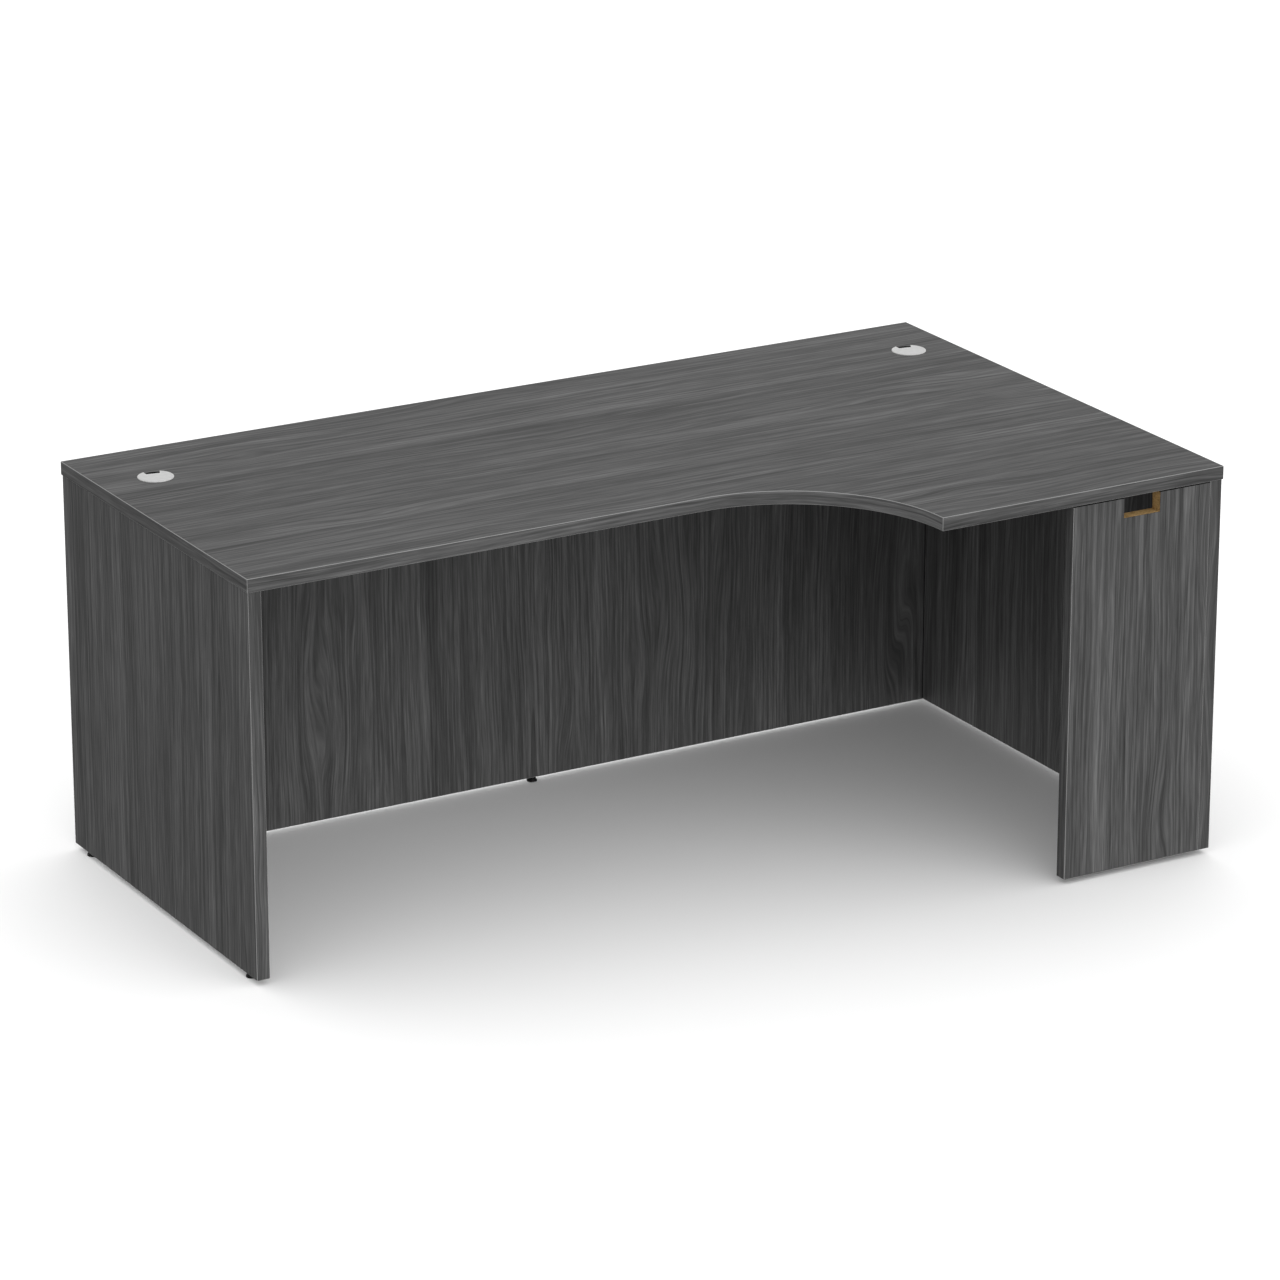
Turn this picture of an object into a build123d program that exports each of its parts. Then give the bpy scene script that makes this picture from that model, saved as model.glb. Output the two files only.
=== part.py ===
from build123d import *

import os

# An L-shaped desk shell with its deep end at the right. Millimetres, +Z up, the user sits on the -Y side.
# The origin is on the floor, in the middle of the desk's footprint.

# ---- Driving dimensions ----
desk_width = 1803.4
left_depth = 762.0
right_depth = 1066.8
desk_height = 749.3
return_run = 600.0  # straight front edge of the deep end, from the curve's foot to the right
board = 25.4  # thickness of every board
band = 2.0  # thickness of the edge bands
arris = 1.5  # rounding of a band's outer edges
overhang = 2.0  # how far the worktop stands past the upright boards
glide_height = 11.0  # gap between the floor and the upright boards

modesty_setback = 127.0  # rear edge of the worktop to the modesty panel's front face
return_width = 295.0  # return panel, from its free edge to the right end panel
return_reveal = 2.5  # open joint between the return panel and the worktop
notch_width = 78.0
notch_depth = 37.0

grommet_hole_radius = 30.0
grommet_from_left = 109.5
grommet_from_right = 101.0
grommet_from_rear = 169.5

# ---- Levels and faces worked out from them ----
underside = desk_height - board
left_edge = -desk_width / 2
right_edge = desk_width / 2
rear_edge = right_depth / 2
return_front_edge = -right_depth / 2
left_front_edge = rear_edge - left_depth
curve_radius = right_depth - left_depth
curve_foot_x = right_edge - return_run
curve_start_x = curve_foot_x - curve_radius

panel_rear = rear_edge - overhang
left_panel_front = left_front_edge + overhang
right_panel_front = return_front_edge + overhang
left_outer = left_edge + overhang
left_inner = left_outer + board
right_outer = right_edge - overhang
right_inner = right_outer - board
modesty_front = rear_edge - modesty_setback
modesty_rear = modesty_front + board
return_left = right_inner - return_width
return_rear = right_panel_front + board
return_top = underside - return_reveal

left_mid = (left_outer + left_inner) / 2
right_mid = (right_outer + right_inner) / 2
modesty_mid = (modesty_front + modesty_rear) / 2
return_mid = (right_panel_front + return_rear) / 2
notch_mid = (return_left + right_inner) / 2

# ---- Rows of joints: how far the end joints are from the boards' edges ----
panel_row_from_front = 80.0
panel_row_from_rear = 50.0
modesty_row_from_ends = 200.0
upright_row_from_bottom = 90.0
upright_row_from_top = 110.0
return_cam_from_free_edge = 45.0
return_dowel_from_end_panel = 65.0

# ---- Joining hardware: eccentric cams on steel bolts, and wooden dowels ----
cam_distance = 34.0  # meeting face of the two boards to the cam's axis
cam_radius = 7.4
cam_length = 17.5
cam_bore_radius = 7.5
cam_bore_depth = 18.0
bolt_channel_radius = 4.0
bolt_thread_radius = 3.1
bolt_thread_length = 11.0
bolt_collar_radius = 3.8
bolt_collar_height = 2.0
bolt_shaft_radius = 2.9
bolt_neck_radius = 2.0
bolt_head_radius = 3.3
cam_pocket_radius = 5.2
cam_pocket_height = 7.2
cam_neck_slot = 4.6
cam_turn = 120  # degrees from where the bolt goes in to where it is locked
cam_chamfer = 0.4
bolt_head_setback = 2.0  # the ball head's centre, short of the cam's axis
bolt_chamfer = 1.0
driver_slot_length = 8.0
driver_slot_width = 1.5
driver_slot_depth = 2.5
hole_clearance = 0.1
dowel_radius = 4.0
dowel_in_face = 12.0
dowel_in_edge = 18.0
dowel_chamfer = 0.8

# ---- Levelling glides: a plastic foot on a threaded stud, in a steel insert ----
glide_from_panel_end = 48.0
foot_radius = 10.0
foot_neck_radius = 5.2
foot_rim_height = 3.0
foot_rim_round = 1.0
foot_collar_height = 1.0
stud_radius = 3.95
stud_root_radius = 3.35
stud_pitch = 1.25
stud_turns = 23
stud_shank_radius = 3.4
stud_socket_floor = 3.0
stud_tip_height = 1.0
insert_radius = 6.0
insert_groove_radius = 5.6
insert_bore_radius = 4.0
insert_length = 16.0
insert_ribs = 6
insert_crest = 0.5  # share of a rib's pitch at full radius
insert_groove_start = 0.6  # share of a rib's pitch where its groove begins
stud_hole_clearance = 0.5
stud_hole_spare = 3.0  # the hole's depth past the stud's tip

# ---- Grommet caps: a dished disc with a cable notch, and a skirt that turns in the hole ----
cap_radius = 33.0
cap_height = 1.8
cap_rim_width = 3.0
cap_edge_round = 1.2
cap_dish = 0.6
cap_web = 1.0  # how far the disc reaches below the worktop's surface, inside the skirt
skirt_radius = 29.92
skirt_wall = 1.8
skirt_depth = 15.0
finger_slots = 5
finger_slot_width = 1.6
notch_turn = 10.0  # degrees clockwise from the rear, seen from above
cap_notch_inner = 17.0  # centre of the cap to the notch's inner edge
cap_notch_inner_width = 25.0
cap_notch_outer_width = 33.0

cut_past = 1.0  # how far a cutter runs past the face that it cuts


def save(piece, node):
    """Labels a finished piece and writes it to its own file."""
    piece.part.label = node
    export_step(piece.part, f"parts/{node}.step")


def block(x_span, y_span, z_span, mode=Mode.ADD):
    """A box between two corners, made in the builder that calls it."""
    middle = [(low + high) / 2 for low, high in (x_span, y_span, z_span)]
    with Locations(tuple(middle)):
        Box(x_span[1] - x_span[0], y_span[1] - y_span[0], z_span[1] - z_span[0], mode=mode)


def spread(start, end, count):
    """Evenly spaced places from start to end."""
    return [start + (end - start) * step / (count - 1) for step in range(count)]


def joint_plane(origin, into, opens):
    """Where two boards are joined: into points into the board that holds the cam, opens out of its face."""
    return Plane(origin=origin, x_dir=opens, z_dir=into)


os.makedirs("parts", exist_ok=True)

# ---- Where the boards are joined ----
down = (0, 0, -1)
to_right = (1, 0, 0)
to_left = (-1, 0, 0)
to_rear = (0, 1, 0)

left_panel_joints = [
    joint_plane((left_mid, y, underside), down, to_right)
    for y in spread(left_panel_front + panel_row_from_front, panel_rear - panel_row_from_rear, 5)
]
right_panel_joints = [
    joint_plane((right_mid, y, underside), down, to_left)
    for y in spread(right_panel_front + panel_row_from_front, panel_rear - panel_row_from_rear, 7)
]
modesty_top_joints = [
    joint_plane((x, modesty_mid, underside), down, to_rear)
    for x in spread(left_inner + modesty_row_from_ends, right_inner - modesty_row_from_ends, 5)
]
return_top_joints = [
    joint_plane((x, return_mid, underside), down, to_rear)
    for x in (return_left + return_cam_from_free_edge, right_inner - return_dowel_from_end_panel)
]
upright_heights = spread(
    glide_height + upright_row_from_bottom, underside - upright_row_from_top, 5
)
modesty_left_joints = [
    joint_plane((left_inner, modesty_mid, z), to_right, to_rear) for z in upright_heights
]
modesty_right_joints = [
    joint_plane((right_inner, modesty_mid, z), to_left, to_rear) for z in upright_heights
]
return_side_joints = [
    joint_plane((right_inner, return_mid, z), to_left, to_rear) for z in upright_heights
]

# Along each row of joints a cam, a dowel, a cam and so on; the return panel's top has a cam and a dowel.
worktop_cam_joints = left_panel_joints[::2] + right_panel_joints[::2]
worktop_cam_joints += modesty_top_joints[::2] + return_top_joints[::2]
worktop_dowel_joints = left_panel_joints[1::2] + right_panel_joints[1::2]
worktop_dowel_joints += modesty_top_joints[1::2] + return_top_joints[1::2]
modesty_cam_joints = modesty_left_joints[::2] + modesty_right_joints[::2]
modesty_dowel_joints = modesty_left_joints[1::2] + modesty_right_joints[1::2]
return_cam_joints = return_side_joints[::2]
return_dowel_joints = return_side_joints[1::2]

glide_places = {
    "left_rear": (left_mid, panel_rear - glide_from_panel_end),
    "left_front": (left_mid, left_panel_front + glide_from_panel_end),
    "right_rear": (right_mid, panel_rear - glide_from_panel_end),
    "right_front": (right_mid, right_panel_front + glide_from_panel_end),
    "modesty": (0, modesty_mid),
}
grommet_places = {
    "left": (left_edge + grommet_from_left, rear_edge - grommet_from_rear),
    "right": (right_edge - grommet_from_right, rear_edge - grommet_from_rear),
}

# ---- Cutters: what is drilled for one cam joint, one dowel and one glide ----
with BuildPart() as cam_joint_cutter:
    with BuildSketch(Plane.XY.offset(-bolt_thread_length - hole_clearance)):
        Circle(bolt_thread_radius + hole_clearance)
    extrude(amount=bolt_thread_length + hole_clearance)
    with BuildSketch():
        Circle(bolt_channel_radius)
    extrude(amount=cam_distance)
    with BuildSketch(Plane.YZ.offset(board / 2)):
        with Locations((0, cam_distance)):
            Circle(cam_bore_radius)
    extrude(amount=-cam_bore_depth)

with BuildPart() as dowel_cutter:
    with BuildSketch(Plane.XY.offset(-dowel_in_face - hole_clearance)):
        Circle(dowel_radius + hole_clearance)
    extrude(amount=dowel_in_face + dowel_in_edge + return_reveal + 2 * hole_clearance)

with BuildPart() as glide_cutter:
    with BuildSketch(Plane.XY.offset(glide_height)):
        Circle(insert_radius + hole_clearance / 2)
    extrude(amount=insert_length)
    with BuildSketch(Plane.XY.offset(glide_height)):
        Circle(insert_bore_radius + stud_hole_clearance)
    extrude(amount=stud_pitch * stud_turns + stud_hole_spare)

# ---- Worktop ----
with BuildSketch() as worktop_outline:
    with BuildLine():
        curve_start = (curve_start_x, left_front_edge)
        curve_foot = (curve_foot_x, return_front_edge)
        RadiusArc(curve_start, curve_foot, curve_radius)
        Polyline(
            curve_foot,
            (right_edge, return_front_edge),
            (right_edge, rear_edge),
            (left_edge, rear_edge),
            (left_edge, left_front_edge),
            curve_start,
        )
    make_face()

with BuildSketch() as worktop_core_outline:
    add(worktop_outline.sketch)
    offset(amount=-band, kind=Kind.INTERSECTION, mode=Mode.REPLACE)

with BuildPart() as worktop_envelope:
    with BuildSketch(Plane.XY.offset(underside)):
        add(worktop_outline.sketch)
    extrude(amount=board)
    uprights = worktop_envelope.edges().filter_by(Axis.Z)
    corners = uprights.sort_by(lambda edge: abs(edge.center().X - curve_start_x))[1:]
    fillet(corners, radius=arris)
    fillet(worktop_envelope.faces().filter_by(Axis.Z).edges(), radius=arris)

with BuildPart() as worktop_core:
    with BuildSketch(Plane.XY.offset(underside)):
        add(worktop_core_outline.sketch)
    extrude(amount=board)

with BuildPart() as worktop_board:
    add(worktop_core.part)
    with BuildSketch(Plane.XY.offset(underside)):
        with Locations(*grommet_places.values()):
            Circle(grommet_hole_radius)
    extrude(amount=board, mode=Mode.SUBTRACT)
    with Locations(*worktop_cam_joints):
        add(cam_joint_cutter.part, mode=Mode.SUBTRACT)
    with Locations(*worktop_dowel_joints):
        add(dowel_cutter.part, mode=Mode.SUBTRACT)
save(worktop_board, "worktop_board")

# The side bands run past the ends of the rear and front bands. The curved band meets the deep
# end's front band at the foot of the curve.
worktop_height = (underside, desk_height)
worktop_band_regions = {
    "worktop_band_left": (
        (left_edge - cut_past, left_edge + band),
        (left_front_edge - cut_past, rear_edge + cut_past),
    ),
    "worktop_band_right": (
        (right_edge - band, right_edge + cut_past),
        (return_front_edge - cut_past, rear_edge + cut_past),
    ),
    "worktop_band_rear": (
        (left_edge + band, right_edge - band),
        (rear_edge - band, rear_edge + cut_past),
    ),
    "worktop_band_return_front": (
        (curve_start_x, right_edge - band),
        (return_front_edge - cut_past, return_front_edge + band),
    ),
    "worktop_band_front": (
        (left_edge + band, curve_foot_x + 2 * band),
        (return_front_edge + band, left_front_edge + band),
    ),
}
for node, (x_span, y_span) in worktop_band_regions.items():
    with BuildPart() as worktop_band:
        add(worktop_envelope.part)
        block(x_span, y_span, worktop_height, mode=Mode.INTERSECT)
        add(worktop_core.part, mode=Mode.SUBTRACT)
    save(worktop_band, node)

# ---- End panels: banded at the front, the rear and the bottom ----
end_panels = {
    "left": ((left_outer, left_inner), left_panel_front, [left_panel_joints, modesty_left_joints]),
    "right": (
        (right_inner, right_outer),
        right_panel_front,
        [right_panel_joints, modesty_right_joints, return_side_joints],
    ),
}
for end, (x_span, front, joint_rows) in end_panels.items():
    panel_height = (glide_height, underside)
    with BuildPart() as end_envelope:
        block(x_span, (front, panel_rear), panel_height)
        top_rim = end_envelope.faces().sort_by(Axis.Z)[-1].edges()
        fillet([edge for edge in end_envelope.edges() if edge not in top_rim], radius=arris)

    glides_here = [glide_places[f"{end}_rear"], glide_places[f"{end}_front"]]
    with BuildPart() as end_panel:
        block(x_span, (front + band, panel_rear - band), (glide_height + band, underside))
        for joint_row in joint_rows:
            with Locations(*joint_row[::2]):
                add(cam_joint_cutter.part, mode=Mode.SUBTRACT)
            with Locations(*joint_row[1::2]):
                add(dowel_cutter.part, mode=Mode.SUBTRACT)
        with Locations(*glides_here):
            add(glide_cutter.part, mode=Mode.SUBTRACT)
    save(end_panel, f"{end}_end_panel")

    band_regions = {
        "front": ((front, front + band), panel_height),
        "rear": ((panel_rear - band, panel_rear), panel_height),
        "bottom": ((front + band, panel_rear - band), (glide_height, glide_height + band)),
    }
    for side, (y_span, z_span) in band_regions.items():
        with BuildPart() as end_band:
            add(end_envelope.part)
            block(x_span, y_span, z_span, mode=Mode.INTERSECT)
            if side == "bottom":
                with Locations(*glides_here):
                    add(glide_cutter.part, mode=Mode.SUBTRACT)
        save(end_band, f"{end}_end_band_{side}")

# ---- Modesty panel: banded at the bottom only ----
modesty_x = (left_inner, right_inner)
modesty_y = (modesty_front, modesty_rear)
with BuildPart() as modesty_panel:
    block(modesty_x, modesty_y, (glide_height + band, underside))
    with Locations(*modesty_cam_joints, *modesty_top_joints[::2]):
        add(cam_joint_cutter.part, mode=Mode.SUBTRACT)
    with Locations(*modesty_dowel_joints, *modesty_top_joints[1::2]):
        add(dowel_cutter.part, mode=Mode.SUBTRACT)
    with Locations(glide_places["modesty"]):
        add(glide_cutter.part, mode=Mode.SUBTRACT)
save(modesty_panel, "modesty_panel")

with BuildPart() as modesty_band:
    block(modesty_x, modesty_y, (glide_height, glide_height + band))
    fillet(modesty_band.faces().sort_by(Axis.Z)[0].edges().filter_by(Axis.X), radius=arris)
    with Locations(glide_places["modesty"]):
        add(glide_cutter.part, mode=Mode.SUBTRACT)
save(modesty_band, "modesty_band_bottom")

# ---- Return panel: banded at its free edge and the bottom, with a raw-edged cable notch ----
return_y = (right_panel_front, return_rear)
with BuildPart() as return_envelope:
    block((return_left, right_inner), return_y, (glide_height, return_top))
    free_face = return_envelope.faces().sort_by(Axis.X)[0]
    bottom_face = return_envelope.faces().sort_by(Axis.Z)[0]
    rounded = free_face.edges().sort_by(Axis.Z)[:-1] + bottom_face.edges().filter_by(Axis.X)
    fillet(rounded, radius=arris)

with BuildPart() as return_panel:
    block((return_left + band, right_inner), return_y, (glide_height + band, return_top))
    block(
        (notch_mid - notch_width / 2, notch_mid + notch_width / 2),
        return_y,
        (return_top - notch_depth, return_top),
        mode=Mode.SUBTRACT,
    )
    with Locations(*return_cam_joints, *return_top_joints[::2]):
        add(cam_joint_cutter.part, mode=Mode.SUBTRACT)
    with Locations(*return_dowel_joints, *return_top_joints[1::2]):
        add(dowel_cutter.part, mode=Mode.SUBTRACT)
save(return_panel, "return_panel")

return_band_regions = {
    "side": ((return_left, return_left + band), (glide_height, return_top)),
    "bottom": ((return_left + band, right_inner), (glide_height, glide_height + band)),
}
for side, (x_span, z_span) in return_band_regions.items():
    with BuildPart() as return_band:
        add(return_envelope.part)
        block(x_span, return_y, z_span, mode=Mode.INTERSECT)
    save(return_band, f"return_band_{side}")

# ---- Joining hardware ----
# One cam in its joint's own frame. The bolt's ball head sits in the pocket, and its neck passes
# through a slot that runs round to the hole where the head went in.
cam_axis = Axis((0, 0, cam_distance), to_right)
entry_plane = Plane(
    origin=(0, 0, cam_distance),
    x_dir=to_right,
    z_dir=Vector(0, 0, -1).rotate(Axis.X, cam_turn),
)
slot_reach = (cam_distance - cam_radius - cut_past, cam_distance - cam_pocket_radius + cut_past)
half_slot = (-cam_neck_slot / 2, cam_neck_slot / 2)
with BuildPart() as cam:
    with BuildSketch(Plane.YZ.offset(board / 2)):
        with Locations((0, cam_distance)):
            Circle(cam_radius)
    extrude(amount=-cam_length)
    chamfer(cam.faces().sort_by(Axis.X)[-1].edges(), length=cam_chamfer)
    with BuildSketch(Plane.YZ.offset(-cam_pocket_height / 2)):
        with Locations((0, cam_distance)):
            Circle(cam_pocket_radius)
    extrude(amount=cam_pocket_height, mode=Mode.SUBTRACT)
    with BuildSketch(entry_plane):
        Circle(cam_pocket_height / 2)
    extrude(amount=cam_radius + cut_past, mode=Mode.SUBTRACT)
    with BuildSketch(Plane.XZ):
        with Locations((0, sum(slot_reach) / 2)):
            Rectangle(cam_neck_slot, slot_reach[1] - slot_reach[0])
    revolve(axis=cam_axis, revolution_arc=cam_turn, mode=Mode.SUBTRACT)
    block(half_slot, half_slot, slot_reach, mode=Mode.SUBTRACT)
    with BuildSketch(Plane.YZ.offset(board / 2)):
        with Locations((0, cam_distance)):
            Rectangle(driver_slot_length, driver_slot_width)
            Rectangle(driver_slot_width, driver_slot_length)
    extrude(amount=-driver_slot_depth, mode=Mode.SUBTRACT)

bolt_head_height = cam_distance - bolt_head_setback
bolt_neck_start = cam_distance - cam_radius
bolt_neck_end = bolt_head_height - (bolt_head_radius**2 - bolt_neck_radius**2) ** 0.5
with BuildPart() as cam_bolt:
    with BuildSketch(Plane.XZ):
        with BuildLine():
            Polyline(
                (bolt_neck_radius, bolt_neck_end),
                (bolt_neck_radius, bolt_neck_start),
                (bolt_shaft_radius, bolt_neck_start - bolt_chamfer),
                (bolt_shaft_radius, bolt_collar_height),
                (bolt_collar_radius, bolt_collar_height),
                (bolt_collar_radius, 0),
                (bolt_thread_radius, 0),
                (bolt_thread_radius, bolt_chamfer - bolt_thread_length),
                (bolt_thread_radius - bolt_chamfer, -bolt_thread_length),
                (0, -bolt_thread_length),
                (0, bolt_head_height + bolt_head_radius),
            )
            ThreePointArc(
                (bolt_neck_radius, bolt_neck_end),
                (bolt_head_radius, bolt_head_height),
                (0, bolt_head_height + bolt_head_radius),
            )
        make_face()
    revolve(axis=Axis.Z)

with BuildPart() as dowel:
    with BuildSketch(Plane.XY.offset(-dowel_in_face)):
        Circle(dowel_radius)
    extrude(amount=dowel_in_face + dowel_in_edge)
    chamfer(dowel.edges().filter_by(GeomType.CIRCLE), length=dowel_chamfer)

hardware = {
    "worktop_cams": (cam, worktop_cam_joints),
    "worktop_cam_bolts": (cam_bolt, worktop_cam_joints),
    "worktop_dowels": (dowel, worktop_dowel_joints),
    "modesty_cams": (cam, modesty_cam_joints),
    "modesty_cam_bolts": (cam_bolt, modesty_cam_joints),
    "modesty_dowels": (dowel, modesty_dowel_joints),
    "return_cams": (cam, return_cam_joints),
    "return_cam_bolts": (cam_bolt, return_cam_joints),
    "return_dowels": (dowel, return_dowel_joints),
}
for node, (fastener, joints) in hardware.items():
    with BuildPart() as fastener_group:
        with Locations(*joints):
            add(fastener.part)
    save(fastener_group, node)

# ---- Levelling glides ----
rib_pitch = insert_length / insert_ribs
insert_profile = [(insert_bore_radius, glide_height + insert_length), (insert_bore_radius, glide_height)]
for rib in range(insert_ribs):
    rib_bottom = glide_height + rib * rib_pitch
    insert_profile.append((insert_radius, rib_bottom))
    insert_profile.append((insert_radius, rib_bottom + rib_pitch * insert_crest))
    insert_profile.append((insert_groove_radius, rib_bottom + rib_pitch * insert_groove_start))
    insert_profile.append((insert_groove_radius, rib_bottom + rib_pitch))
with BuildPart() as glide_insert:
    with BuildSketch(Plane.XZ):
        with BuildLine():
            Polyline(*insert_profile, close=True)
        make_face()
    revolve(axis=Axis.Z)

with BuildPart() as glide_inserts:
    with Locations(*glide_places.values()):
        add(glide_insert.part)
save(glide_inserts, "glide_inserts")

with BuildPart() as glide_foot:
    with BuildSketch(Plane.XZ):
        with BuildLine():
            Polyline(
                (0, 0),
                (foot_radius, 0),
                (foot_radius, foot_rim_height),
                (foot_neck_radius, glide_height - foot_collar_height),
                (foot_neck_radius, glide_height),
                (stud_shank_radius, glide_height),
                (stud_shank_radius, stud_socket_floor),
                (0, stud_socket_floor),
                close=True,
            )
        make_face()
    revolve(axis=Axis.Z)
    circles = glide_foot.edges().filter_by(GeomType.CIRCLE)
    fillet(circles.sort_by(SortBy.RADIUS)[-2:], radius=foot_rim_round)

# The thread is drawn as rings of the right pitch, from the foot's top to the stud's chamfered tip.
stud_profile = [(0, stud_socket_floor), (stud_shank_radius, stud_socket_floor)]
stud_profile.append((stud_shank_radius, glide_height))
for turn in range(stud_turns):
    turn_start = glide_height + turn * stud_pitch
    stud_profile.append((stud_root_radius, turn_start))
    stud_profile.append((stud_radius, turn_start + stud_pitch / 2))
stud_tip = glide_height + stud_turns * stud_pitch
stud_profile.append((stud_root_radius, stud_tip))
stud_profile.append((stud_root_radius - stud_tip_height, stud_tip + stud_tip_height))
stud_profile.append((0, stud_tip + stud_tip_height))
with BuildPart() as glide_stud:
    with BuildSketch(Plane.XZ):
        with BuildLine():
            Polyline(*stud_profile, close=True)
        make_face()
    revolve(axis=Axis.Z)

for name, place in glide_places.items():
    with BuildPart() as placed_foot:
        with Locations(place):
            add(glide_foot.part)
    save(placed_foot, f"{name}_glide_foot")
    with BuildPart() as placed_stud:
        with Locations(place):
            add(glide_stud.part)
    save(placed_stud, f"{name}_glide_stud")

# ---- Grommet caps ----
with BuildPart() as grommet_cap:
    with BuildSketch(Plane.XZ):
        with BuildLine():
            Polyline(
                (0, cap_height - cap_dish),
                (cap_radius - cap_rim_width - cap_dish, cap_height - cap_dish),
                (cap_radius - cap_rim_width, cap_height),
                (cap_radius - cap_edge_round, cap_height),
            )
            RadiusArc(
                (cap_radius - cap_edge_round, cap_height),
                (cap_radius, cap_height - cap_edge_round),
                cap_edge_round,
            )
            Polyline(
                (cap_radius, cap_height - cap_edge_round),
                (cap_radius, 0),
                (skirt_radius, 0),
                (skirt_radius, -skirt_depth),
                (skirt_radius - skirt_wall, -skirt_depth),
                (skirt_radius - skirt_wall, -cap_web),
                (0, -cap_web),
                (0, cap_height - cap_dish),
            )
        make_face()
    revolve(axis=Axis.Z)
    with BuildSketch(Plane.XY.offset(-skirt_depth).rotated((0, 0, -notch_turn))):
        with BuildLine():
            Polyline(
                (-cap_notch_inner_width / 2, cap_notch_inner),
                (cap_notch_inner_width / 2, cap_notch_inner),
                (cap_notch_outer_width / 2, cap_radius + cut_past),
                (-cap_notch_outer_width / 2, cap_radius + cut_past),
                close=True,
            )
        make_face()
    extrude(amount=skirt_depth + cap_height, mode=Mode.SUBTRACT)
    with BuildSketch(Plane.XY.offset(-skirt_depth).rotated((0, 0, -90 - notch_turn))):
        with PolarLocations(skirt_radius, finger_slots, start_angle=-90, angular_range=180):
            Rectangle(4 * skirt_wall, finger_slot_width)
    extrude(amount=skirt_depth - 2 * cap_web, mode=Mode.SUBTRACT)

for name, (x, y) in grommet_places.items():
    with BuildPart() as placed_cap:
        with Locations((x, y, desk_height)):
            add(grommet_cap.part)
    save(placed_cap, f"{name}_grommet_cap")
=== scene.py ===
"""The looks of the teacher desk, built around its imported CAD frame.

Metres, +Z up, and the user sits on the -Y side.
"""

import math

import bmesh
import bpy
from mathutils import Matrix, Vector


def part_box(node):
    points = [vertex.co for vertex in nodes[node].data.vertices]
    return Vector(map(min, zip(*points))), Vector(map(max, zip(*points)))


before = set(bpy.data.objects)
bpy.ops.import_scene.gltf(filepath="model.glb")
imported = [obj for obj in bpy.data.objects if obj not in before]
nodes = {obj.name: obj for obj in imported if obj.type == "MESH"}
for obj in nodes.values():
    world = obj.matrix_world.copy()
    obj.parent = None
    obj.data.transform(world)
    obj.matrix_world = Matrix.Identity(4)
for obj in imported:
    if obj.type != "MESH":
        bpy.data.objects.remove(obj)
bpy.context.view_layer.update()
X, Y, Z = 0, 1, 2

# ---- Colours, as linear greys or (red, green, blue) ----
laminate_grey = 0.110
band_grey = 0.110
# the rounded edges of the bands: partly their unprinted plastic, partly a painted highlight
arris_grey_and_highlight = (0.42, 0.42, 0.42)
raw_board_light = (0.72, 0.48, 0.21)
raw_board_dark = (0.34, 0.21, 0.085)
# painted shade: near-black, for the shadow in the gap under the worktop and inside the grommet holes
painted_shade_black = (0.012, 0.012, 0.012)
skin_grey = (0.05, 0.05, 0.05)
cap_grey = (0.78, 0.78, 0.775)
foot_black = (0.007, 0.007, 0.007)
zinc = (0.62, 0.61, 0.59)
steel = (0.60, 0.60, 0.60)
beech = (0.55, 0.38, 0.22)
floor_grey = (0.80, 0.80, 0.80)

# ---- Finish: roughness, and relief in metres ----
print_specular = 0.15
board_rough = (0.50, 0.42)  # in the print's dark pores, and on its light fibres
band_rough = (0.46, 0.38)
cut_rough = 0.9
board_relief = 0.00006
band_relief = 0.00004
chip_relief = 4.0  # the raw core's chips, against the relief of the print

# ---- Where a board changes its looks, in metres ----
skin_thickness = 0.0009  # the dark laminate layer that shows around a cut face
face_reach = 0.0004  # what lies this near a large face is on it
top_reach = 0.0005  # what lies this near an upright board's top is on it
square_on = 0.9  # how squarely a face has to lie to count as a large face
# Painted shade in the corner beside the right end panel: where it is darkest, where it ends, and how dark it
# gets.
corner_shade_dark_to = 0.0010  # the painted shade in the corner beside the right end panel is at its darkest up to here
corner_shade_ends_at = 0.0040
corner_shade_darkness = 0.10
arris_facing = (0.30, 0.93)  # how level a band's rounded outer edges face, from one side to the other

# ---- The printed grain ----
# Each layer of noise: its pattern, its features per metre across and along the grain, detail, roughness.
grain_layers = {
    "arch_zone": (57.0, 7.0, 1.3, 1.0, 0.5),
    "arch": (31.0, 12.0, 2.0, 1.0, 0.5),
    "wander": (5.0, 2.5, 0.8, 1.0, 0.5),
    "ripple": (13.0, 34.0, 7.0, 1.0, 0.5),
    "ring_shift": (19.0, 30.0, 0.8, 1.0, 0.5),
    "line_depth": (23.0, 14.0, 1.2, 2.0, 0.5),
    "dark_stripe": (41.0, 2.0, 1.5, 1.0, 0.5),
    "light_stripe": (43.0, 26.0, 1.6, 1.0, 0.5),
    "broad": (3.0, 7.5, 0.5, 2.0, 0.5),
    "middle": (7.0, 19.0, 0.9, 2.0, 0.5),
    "narrow": (11.0, 60.0, 1.1, 2.0, 0.5),
    "fine": (15.0, 185.0, 2.6, 2.0, 0.6),
    "fibre": (17.0, 380.0, 14.0, 2.0, 0.6),
}
# How far the grain lines move sideways, in metres.
arch_zone_noise = (0.52, 0.68)
arch_reach = (0.001, 0.042)  # outside the zones of arches, and inside them
wander_reach = 0.022
ripple_reach = 0.0030
# Growth rings: each darkens as a power of the way through it, and drops back near its end.
rings_per_metre = 62.0
ring_drift = 5.0
ring_power = 4.0
ring_mean = 0.2  # of the way through a ring, to that power
ring_drop = 0.93
ring_end_share = 0.25
line_depth_noise = (0.42, 0.62)
line_depths = (0.06, 0.52)
# Stripes: where each starts, is full, still is full and is gone, as a share of the print's repeat.
dark_stripe_span = (0.40, 0.49, 0.522, 0.532)
light_stripe_span = (0.528, 0.54, 0.60, 0.68)
dark_stripe_noise = (0.35, 0.60)
light_stripe_noise = (0.40, 0.62)
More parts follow.
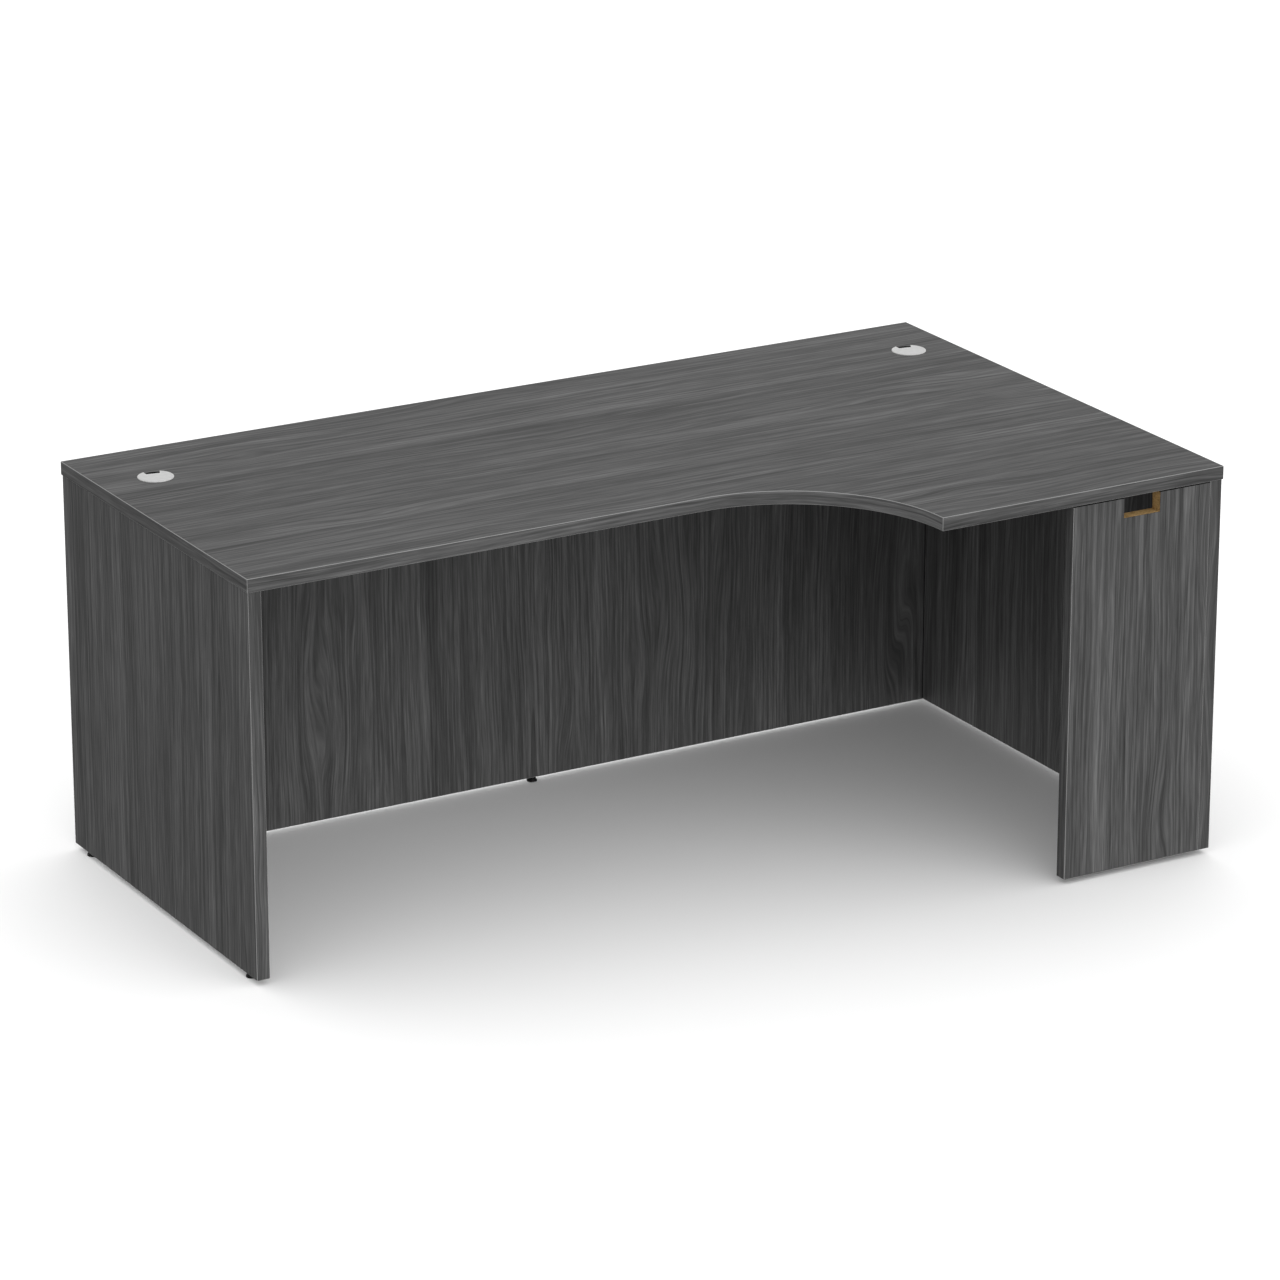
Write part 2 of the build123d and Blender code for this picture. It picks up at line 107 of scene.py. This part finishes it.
# How much each layer lightens or darkens the print, as an exponent.
stripe_darkness = (0.12, 0.26)
stripe_lightness = (0.02, 0.26)
broad_tone = 0.15
middle_tone = 0.33
streak_noise = (0.38, 0.64)  # of the narrow and the fine layer
narrow_tone = (-0.11, 0.08)
fine_tone = (-0.27, 0.19)
fibre_tone = 0.65

# ---- Studio ----
sky_light = 0.69
ground_light = 0.32  # stands for the floor's bounce, because the floor itself lights nothing
floor_fill = 0.052  # stands for the light that the desk's own underside gives back to the floor
floor_reach = 60.0
backdrop_radius = 59.0
backdrop_height = 120.0
horizon_blur = 0.02


# ---- Node helpers ----
def add_node(tree, kind, **settings):
    """A new shader node with some of its settings."""
    made = tree.nodes.new("ShaderNode" + kind)
    for name, value in settings.items():
        setattr(made, name, value)
    return made


def feed(tree, socket, value):
    """Links another node's output to a socket, or sets the socket to a number."""
    if isinstance(value, bpy.types.NodeSocket):
        tree.links.new(value, socket)
    else:
        socket.default_value = value


def calc(tree, operation, *values):
    """A Math node's result."""
    made = add_node(tree, "Math", operation=operation)
    for socket, value in zip(made.inputs, values):
        feed(tree, socket, value)
    return made.outputs[0]


def total(tree, *values):
    """The sum of several values."""
    result = values[0]
    for value in values[1:]:
        result = calc(tree, "ADD", result, value)
    return result


def product(tree, *values):
    """Several values multiplied."""
    result = values[0]
    for value in values[1:]:
        result = calc(tree, "MULTIPLY", result, value)
    return result


def remap(tree, value, low, high, to_low=0.0, to_high=1.0, smooth=True):
    """value, from low..high to to_low..to_high and no further."""
    made = add_node(tree, "MapRange", interpolation_type="SMOOTHSTEP" if smooth else "LINEAR")
    ends = {"Value": value, "From Min": low, "From Max": high, "To Min": to_low, "To Max": to_high}
    for name, number in ends.items():
        feed(tree, made.inputs[name], number)
    return made.outputs[0]


def spread(tree, value, reach):
    """Noise about its middle, as -reach to reach."""
    return calc(tree, "MULTIPLY", calc(tree, "SUBTRACT", value, 0.5), 2 * reach)


def noise(tree, vector, scale=1.0, detail=2.0, rough=0.5):
    """Noise between 0 and 1, about 0.5 in the middle."""
    made = add_node(tree, "TexNoise", noise_dimensions="3D")
    feed(tree, made.inputs["Vector"], vector)
    for name, number in {"Scale": scale, "Detail": detail, "Roughness": rough}.items():
        made.inputs[name].default_value = number
    return made.outputs["Fac"]


def join(tree, x, y, z):
    """A vector made of three numbers."""
    made = add_node(tree, "CombineXYZ")
    for socket, value in zip(made.inputs, (x, y, z)):
        feed(tree, socket, value)
    return made.outputs[0]


def grey_colour(tree, value):
    """A neutral colour from one number."""
    made = add_node(tree, "CombineColor")
    for socket in made.inputs[:3]:
        feed(tree, socket, value)
    return made.outputs[0]


def mix_colour(tree, factor, first, second, blend_type="MIX"):
    """first where factor is 0, second where it is 1."""
    made = add_node(tree, "Mix", data_type="RGBA", blend_type=blend_type)
    feed(tree, made.inputs["Factor"], factor)
    colours = [socket for socket in made.inputs if socket.type == "RGBA"]
    for socket, value in zip(colours, (first, second)):
        feed(tree, socket, (*value, 1.0) if isinstance(value, tuple) else value)
    return next(socket for socket in made.outputs if socket.type == "RGBA")


def object_place(tree):
    """The surface's place in the row frame, as a vector."""
    return add_node(tree, "TexCoord").outputs["Object"]


def place(tree):
    """The surface's place in the row frame: its x, y and z."""
    split = add_node(tree, "SeparateXYZ")
    tree.links.new(object_place(tree), split.inputs[0])
    return split.outputs[:3]


def facing(tree):
    """How squarely the surface faces along X, Y and Z: each from 0 to 1."""
    split = add_node(tree, "SeparateXYZ")
    tree.links.new(add_node(tree, "NewGeometry").outputs["True Normal"], split.inputs[0])
    return [calc(tree, "ABSOLUTE", part) for part in split.outputs[:3]]


def new_material(name, **settings):
    """A material with one Principled shader, whose plain numbers are set here."""
    material = bpy.data.materials.new(name)
    material.use_nodes = True
    shader = material.node_tree.nodes["Principled BSDF"]
    for key, value in settings.items():
        shader.inputs[key.replace("_", " ")].default_value = value
    return material, material.node_tree, shader


def bump(tree, shader, height, distance):
    """Raises the surface by height times distance, in metres."""
    made = add_node(tree, "Bump")
    made.inputs["Distance"].default_value = distance
    tree.links.new(height, made.inputs["Height"])
    tree.links.new(made.outputs[0], shader.inputs["Normal"])


# ---- Printed wood ----
def grain_layer(tree, inside, name, across):
    """One layer of the print: noise drawn out along the grain."""
    pattern, across_scale, along_scale, detail, rough = grain_layers[name]
    seed = calc(tree, "ADD", inside["Seed"], pattern)
    across = calc(tree, "MULTIPLY", across, across_scale)
    along = calc(tree, "MULTIPLY", inside["Along"], along_scale)
    return noise(tree, join(tree, across, along, seed), detail=detail, rough=rough)


def warp_grain(tree, inside):
    """The distance across the grain, moved sideways.

    The grain wanders, ripples, and here and there swells into arches and eyes, as flat-sawn wood does.
    """
    across = inside["Across"]
    zone = remap(tree, grain_layer(tree, inside, "arch_zone", across), *arch_zone_noise, *arch_reach)
    arch = product(tree, spread(tree, grain_layer(tree, inside, "arch", across), 1.0), zone)
    wander = spread(tree, grain_layer(tree, inside, "wander", across), wander_reach)
    ripple = spread(tree, grain_layer(tree, inside, "ripple", across), ripple_reach)
    return total(tree, across, wander, arch, ripple)


def ring_lines(tree, inside, warped):
    """Growth rings, and how strongly they show: each darkens slowly and ends in a thin dark line."""
    drift = product(tree, grain_layer(tree, inside, "ring_shift", warped), ring_drift)
    ring = calc(tree, "FRACT", calc(tree, "MULTIPLY_ADD", warped, rings_per_metre, drift))
    line = calc(tree, "SUBTRACT", calc(tree, "POWER", ring, ring_power), ring_mean)
    line = product(tree, line, remap(tree, ring, ring_drop, 1.0, 1.0, ring_end_share))
    depth = grain_layer(tree, inside, "line_depth", warped)
    depth = remap(tree, depth, *line_depth_noise, *line_depths)
    return line, depth


def window(tree, value, start, full, end, gone):
    """0 before start, 1 from full to end, and 0 again past gone."""
    return product(tree, remap(tree, value, start, full), remap(tree, value, end, gone, 1.0, 0.0))


def stripes(tree, inside, warped):
    """How dark and how light the print is in the stripes that come back at its every repeat.

    The dark stripe is wide and has a sharp edge. The light one, beside it, is streaky.
    """
    from_stripe = calc(tree, "SUBTRACT", warped, inside["Stripe At"])
    repeats = calc(tree, "DIVIDE", from_stripe, inside["Stripe Spacing"])
    phase = calc(tree, "FRACT", calc(tree, "ADD", repeats, 0.5))
    darkness = grain_layer(tree, inside, "dark_stripe", inside["Across"])
    lightness = grain_layer(tree, inside, "light_stripe", warped)
    darkness = remap(tree, darkness, *dark_stripe_noise, *stripe_darkness)
    lightness = remap(tree, lightness, *light_stripe_noise, *stripe_lightness)
    dark = product(tree, window(tree, phase, *dark_stripe_span), darkness)
    light = product(tree, window(tree, phase, *light_stripe_span), lightness)
    return dark, light


def fine_layers(tree, inside, warped):
    """The narrower streaks of the print: its fine lines, and its fibres."""
    fine = remap(tree, grain_layer(tree, inside, "fine", warped), *streak_noise, *fine_tone)
    fibre = spread(tree, grain_layer(tree, inside, "fibre", warped), fibre_tone)
    return fine, fibre


def make_grain_group():
    """The printed wood's tone and pores, from the distances along and across its grain in metres."""
    tree = bpy.data.node_groups.new("printed_grain", "ShaderNodeTree")
    for name in ("Along", "Across", "Seed", "Stripe At", "Stripe Spacing"):
        tree.interface.new_socket(name, in_out="INPUT", socket_type="NodeSocketFloat")
    for name in ("Tone", "Pores"):
        tree.interface.new_socket(name, in_out="OUTPUT", socket_type="NodeSocketFloat")
    inside = tree.nodes.new("NodeGroupInput").outputs

    warped = warp_grain(tree, inside)
    line, line_depth = ring_lines(tree, inside, warped)
    dark, light = stripes(tree, inside, warped)
    fine, fibre = fine_layers(tree, inside, warped)
    broad = spread(tree, grain_layer(tree, inside, "broad", warped), broad_tone)
    middle = spread(tree, grain_layer(tree, inside, "middle", warped), middle_tone)
    narrow = remap(tree, grain_layer(tree, inside, "narrow", warped), *streak_noise, *narrow_tone)

    lighter = total(tree, broad, middle, narrow, fine, fibre, light)
    darker = total(tree, dark, product(tree, line, line_depth))
    tone = calc(tree, "EXPONENT", calc(tree, "SUBTRACT", lighter, darker))
    pores = calc(tree, "SUBTRACT", total(tree, fine, fibre), product(tree, line, 0.5))

    outside = tree.nodes.new("NodeGroupOutput").inputs
    tree.links.new(tone, outside["Tone"])
    tree.links.new(pores, outside["Pores"])
    return tree


grain_group = make_grain_group()


def grain(tree, along, across, seed, stripe_at, stripe_spacing):
    """The grain group's tone and pores for one board or band. The light stripe lies past the dark one."""
    made = add_node(tree, "Group", node_tree=grain_group)
    values = {"Along": along, "Across": across, "Seed": seed}
    values.update({"Stripe At": stripe_at, "Stripe Spacing": stripe_spacing})
    for name, value in values.items():
        feed(tree, made.inputs[name], value)
    return made.outputs["Tone"], made.outputs["Pores"]


# ---- Boards ----
def raw_board(tree):
    """The cut face of the particleboard core, of glued chips in two browns, and the chips' relief."""
    point = object_place(tree)
    chips = noise(tree, point, scale=420.0, detail=3.0, rough=0.7)
    patches = noise(tree, point, scale=90.0)
    browns = total(tree, product(tree, chips, 0.7), product(tree, patches, 0.3))
    return mix_colour(tree, remap(tree, browns, 0.3, 0.66), raw_board_dark, raw_board_light), chips


def corner_painted_shade(tree, x, corner_x):
    """Painted shade along the joint beside the right end panel, as a share of the print's tone."""
    from_corner = calc(tree, "SUBTRACT", corner_x, x)
    return remap(tree, from_corner, corner_shade_dark_to, corner_shade_ends_at, corner_shade_darkness, 1.0)


def printed_face(tree, node, where, high, grain_numbers, shade):
    """The print of a board's large faces, and its pores."""
    tone, pores = grain(tree, *grain_numbers)
    # the modesty panel is darkened near its joint with the right end panel: painted shade
    if node == "modesty_panel":
        tone = product(tree, tone, corner_painted_shade(tree, where[X], high.x))
    # shade makes a whole board lighter or darker: painted light
    return grey_colour(tree, product(tree, tone, laminate_grey * shade)), pores


def cut_face(tree, face_axis, where, high, off_middle, half):
    """What a cut face shows, and its relief.

    The tops of the upright boards and the worktop's holes are painted near-black as painted shade: the
    shadow in the gap under the worktop and inside the grommet holes. The rest is the raw core between two
    lines of laminate.
    """
    raw, chips = raw_board(tree)
    on_skin = calc(tree, "GREATER_THAN", off_middle, half - skin_thickness)
    core = mix_colour(tree, on_skin, raw, skin_grey)
    lying = face_axis == Z
    # the upright boards' tops and the worktop's cut faces are painted near-black: painted shade
    in_painted_shade = 1.0 if lying else calc(tree, "GREATER_THAN", where[Z], high.z - top_reach)
    return mix_colour(tree, in_painted_shade, core, painted_shade_black), chips


def laminate(node, along, across, seed, stripe_at, stripe_spacing, shade=1.0):
    """A board: printed laminate on its two large faces, and its core where it is cut."""
    low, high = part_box(node)
    face_axis = X + Y + Z - along - across
    half = (high[face_axis] - low[face_axis]) / 2
    middle = (high[face_axis] + low[face_axis]) / 2
    material, tree, shader = new_material(node + "_laminate", Specular_IOR_Level=print_specular)
    where = place(tree)
    off_middle = calc(tree, "ABSOLUTE", calc(tree, "SUBTRACT", where[face_axis], middle))
    on_face = calc(tree, "GREATER_THAN", off_middle, half - face_reach)
    square = calc(tree, "GREATER_THAN", facing(tree)[face_axis], square_on)
    cut = calc(tree, "SUBTRACT", 1.0, product(tree, on_face, square))

    grain_numbers = (where[along], where[across], seed, stripe_at, stripe_spacing)
    printed, pores = printed_face(tree, node, where, high, grain_numbers, shade)
    core, chips = cut_face(tree, face_axis, where, high, off_middle, half)
    tree.links.new(mix_colour(tree, cut, printed, core), shader.inputs["Base Color"])
    satin = remap(tree, pores, -1, 1, *board_rough, smooth=False)
    tree.links.new(calc(tree, "MAXIMUM", satin, product(tree, cut, cut_rough)), shader.inputs["Roughness"])
    texture = total(tree, pores, product(tree, cut, product(tree, chips, chip_relief)))
    bump(tree, shader, texture, board_relief)
    return material


# ---- Edge bands ----
def level_share(tree, curved):
    """How level the band's surface faces: 1 on its upright face, less on its rounded outer edges."""
    face = facing(tree)
    if not curved:
        return calc(tree, "MAXIMUM", face[X], face[Y])
    squares = total(tree, product(tree, face[X], face[X]), product(tree, face[Y], face[Y]))
    return calc(tree, "SQRT", squares)


def edge_band(node, along_axis, across_axis, seed, shade, curved):
    """A plastic edge band: printed along its length, and much lighter where its outer edges are rounded off:
    partly the unprinted plastic there, partly a painted highlight.
    """
    material, tree, shader = new_material(node + "_print", Specular_IOR_Level=print_specular)
    where = place(tree)
    along = calc(tree, "SUBTRACT", where[X], where[Y]) if curved else where[along_axis]
    tone, pores = grain(tree, along, where[across_axis], seed, band_stripe_at, band_stripe_spacing)
    # shade makes a whole band lighter or darker: painted light
    printed = grey_colour(tree, product(tree, tone, band_grey * shade))
    level = level_share(tree, curved)
    past_start = calc(tree, "GREATER_THAN", level, arris_facing[0])
    before_end = calc(tree, "LESS_THAN", level, arris_facing[1])
    # the rounded edges get a light grey: partly unprinted plastic, partly a painted highlight
    bare_and_highlit = product(tree, before_end, past_start)
    tree.links.new(mix_colour(tree, bare_and_highlit, printed, arris_grey_and_highlight), shader.inputs["Base Color"])
    tree.links.new(remap(tree, pores, -1, 1, *band_rough, smooth=False), shader.inputs["Roughness"])
    bump(tree, shader, pores, band_relief)
    return material


# ---- Small parts ----
def moulded(name, colour, rough, **settings):
    """Moulded plastic with a fine eroded texture."""
    speckle = 0.04
    material, tree, shader = new_material(name, **settings)
    spark = noise(tree, object_place(tree), scale=2600.0)
    cloud = noise(tree, object_place(tree), scale=120.0)
    shade = grey_colour(tree, remap(tree, cloud, 0.3, 0.7, 1 - speckle, 1 + speckle, smooth=False))
    tinted = mix_colour(tree, 1.0, colour, shade, blend_type="MULTIPLY")
    tree.links.new(tinted, shader.inputs["Base Color"])
    finish = remap(tree, spark, 0.3, 0.7, rough - 0.05, rough + 0.05, smooth=False)
    tree.links.new(finish, shader.inputs["Roughness"])
    bump(tree, shader, spark, 0.00003)
    return material


def metal(name, colour, rough):
    """Plated metal with faint scratches and stains."""
    material, tree, shader = new_material(name, Metallic=1.0)
    grit = noise(tree, object_place(tree), scale=900.0, detail=4.0, rough=0.7)
    stain = noise(tree, object_place(tree), scale=140.0, detail=3.0)
    dull = tuple(0.72 * part for part in colour)
    stained = mix_colour(tree, remap(tree, stain, 0.35, 0.7), colour, dull)
    tree.links.new(stained, shader.inputs["Base Color"])
    finish = remap(tree, grit, 0.3, 0.7, rough - 0.08, rough + 0.1, smooth=False)
    tree.links.new(finish, shader.inputs["Roughness"])
    bump(tree, shader, grit, 0.00002)
    return material


def beech_dowel():
    """A beech dowel with its pressed grain."""
    material, tree, shader = new_material("beech_dowel", Roughness=0.65)
    fibre = noise(tree, object_place(tree), scale=600.0, detail=3.0)
    dark = tuple(0.7 * part for part in beech)
    mottled = mix_colour(tree, remap(tree, fibre, 0.3, 0.7), beech, dark)
    tree.links.new(mottled, shader.inputs["Base Color"])
    bump(tree, shader, fibre, 0.00005)
    return material


# ---- Dressing the CAD nodes ----
def dress(node, material):
    """Gives a CAD node its material."""
    for mesh_slot in nodes[node].material_slots:
        mesh_slot.material = material


# Each board: the axis the grain runs along, the one it crosses, its pattern, where a stripe lies across
# the grain and how far apart the stripes are in metres (negative turns the print over), and how light it is:
# painted light, lighter on the return panel and darker on the modesty panel for how light falls on them.
board_prints = {
    "worktop_board": (X, Y, 4.3, -0.062, 0.355, 1.0),
    "left_end_panel": (Z, Y, 12.1, -0.076, 0.357, 1.0),
    "right_end_panel": (Z, Y, 21.7, -0.150, 0.357, 1.0),
    "modesty_panel": (Z, X, 245.2, -0.213, -0.395, 0.94),
    "return_panel": (Z, X, 112.6, 0.615, 0.380, 1.15),
}
# Each band: the axis the grain runs along, the one it crosses, its pattern, and how light it is:
# painted light, lighter on the front-facing bands for how light falls on them.
band_prints = {
    "worktop_band_front": (X, Z, 61.3, 1.18),
    "worktop_band_return_front": (X, Z, 63.8, 1.12),
    "worktop_band_rear": (X, Z, 66.1, 1.0),
    "worktop_band_left": (Y, Z, 68.4, 1.0),
    "worktop_band_right": (Y, Z, 71.2, 1.0),
    "left_end_band_front": (Z, X, 73.5, 1.0),
    "left_end_band_rear": (Z, X, 75.9, 1.0),
    "left_end_band_bottom": (Y, X, 78.2, 1.0),
    "right_end_band_front": (Z, X, 80.6, 1.08),
    "right_end_band_rear": (Z, X, 83.1, 1.0),
    "right_end_band_bottom": (Y, X, 85.4, 1.0),
    "modesty_band_bottom": (X, Y, 87.7, 1.0),
    "return_band_side": (Z, Y, 90.3, 1.08),
    "return_band_bottom": (X, Y, 92.8, 1.0),
}
curved_band = "worktop_band_front"
band_stripe_at = 0.19
band_stripe_spacing = 0.38
for node, numbers in board_prints.items():
    dress(node, laminate(node, *numbers))
for node, numbers in band_prints.items():
    dress(node, edge_band(node, *numbers, curved=node == curved_band))

small_part_looks = {
    "grommet_cap": moulded("grommet_plastic", cap_grey, 0.36),
    "glide_foot": moulded("glide_plastic", foot_black, 0.5, Specular_IOR_Level=0.2),
    "cams": metal("cast_zinc", zinc, 0.38),
    "cam_bolts": metal("plated_steel", steel, 0.30),
    "dowels": beech_dowel(),
}
small_part_looks["glide_stud"] = small_part_looks["cam_bolts"]
small_part_looks["glide_inserts"] = small_part_looks["cam_bolts"]
for node in nodes:
    for ending, material in small_part_looks.items():
        if node.endswith(ending):
            dress(node, material)


# ---- Studio pieces ----
def add_staged(name, mesh, material):
    """Adds a floor or wall that only the camera sees: it casts no shadow and gives back no light."""
    mesh.materials.append(material)
    thing = bpy.data.objects.new(name, mesh)
    bpy.context.scene.collection.objects.link(thing)
    thing.visible_diffuse = False
    thing.visible_glossy = False
    thing.visible_shadow = False
    return thing


def studio_paint(name, colour, glow):
    """A plain matt paint that also shines a little by itself."""
    material, _, shader = new_material(name, Roughness=1.0, Specular_IOR_Level=0.0)
    shader.inputs["Base Color"].default_value = (*colour, 1)
    shader.inputs["Emission Color"].default_value = (1, 1, 1, 1)
    shader.inputs["Emission Strength"].default_value = glow
    return material


def add_floor():
    """A plain pale floor, far larger than the desk. It takes the desk's shadow."""
    mesh = bpy.data.meshes.new("studio_floor")
    signs = [(-1, -1), (1, -1), (1, 1), (-1, 1)]
    mesh.from_pydata([(x * floor_reach, y * floor_reach, 0) for x, y in signs], [], [(0, 1, 2, 3)])
    return add_staged("studio_floor", mesh, studio_paint("floor_paint", floor_grey, floor_fill))


def add_backdrop():
    """A round white wall at the floor's edge."""
    mesh = bpy.data.meshes.new("studio_backdrop")
    shape = bmesh.new()
    radii = {"radius1": backdrop_radius, "radius2": backdrop_radius}
    bmesh.ops.create_cone(shape, cap_ends=False, segments=96, depth=backdrop_height, **radii)
    shape.to_mesh(mesh)
    shape.free()
    add_staged("studio_backdrop", mesh, studio_paint("backdrop_paint", floor_grey, 1.0))


def add_sun(name, source, width, strength, only=None):
    """A very wide soft light from the direction of source; with only, it lights that one object."""
    data = bpy.data.lights.new(name, "SUN")
    data.angle = math.radians(width)
    data.energy = strength
    light = bpy.data.objects.new(name, data)
    bpy.context.scene.collection.objects.link(light)
    light.rotation_mode = "QUATERNION"
    light.rotation_quaternion = (-Vector(source)).to_track_quat("-Z", "Y")
    if only:
        lit = bpy.data.collections.new(name + "_lights")
        lit.objects.link(only)
        light.light_linking.receiver_collection = lit


def add_world():
    """An even pale sky, and a dimmer light from below."""
    world = bpy.data.worlds.new("studio_world")
    bpy.context.scene.world = world
    world.use_nodes = True
    tree = world.node_tree
    split = add_node(tree, "SeparateXYZ")
    tree.links.new(add_node(tree, "TexCoord").outputs["Generated"], split.inputs[0])
    background = tree.nodes["Background"]
    background.inputs["Color"].default_value = (1, 1, 1, 1)
    up = split.outputs[Z]
    strength = remap(tree, up, -horizon_blur, horizon_blur, ground_light, sky_light, smooth=False)
    tree.links.new(strength, background.inputs["Strength"])


def add_camera(location, pitch, yaw, lens):
    """The photographer's camera.

    In degrees, pitch is how far it looks down, and yaw how far it is turned from +Y to +X.
    """
    data = bpy.data.cameras.new("camera")
    data.lens = lens
    data.clip_end = 200.0
    camera = bpy.data.objects.new("camera", data)
    bpy.context.scene.collection.objects.link(camera)
    camera.location = location
    camera.rotation_euler = (math.radians(90 - pitch), 0, math.radians(-yaw))
    bpy.context.scene.camera = camera


studio_floor = add_floor()
add_backdrop()
add_world()
add_sun("front_light", source=(0.2, -1.0, 0.28), width=70, strength=0.72)
add_sun("backdrop_light", source=(0, 0, 1), width=170, strength=2.00, only=studio_floor)
add_sun("backdrop_rear_light", source=(0, 1, 1), width=70, strength=0.45, only=studio_floor)
add_camera(location=(-4.8401, -8.4245, 3.8426), pitch=19.446, yaw=29.863, lens=159.21)
bpy.context.scene.view_settings.view_transform = "Standard"
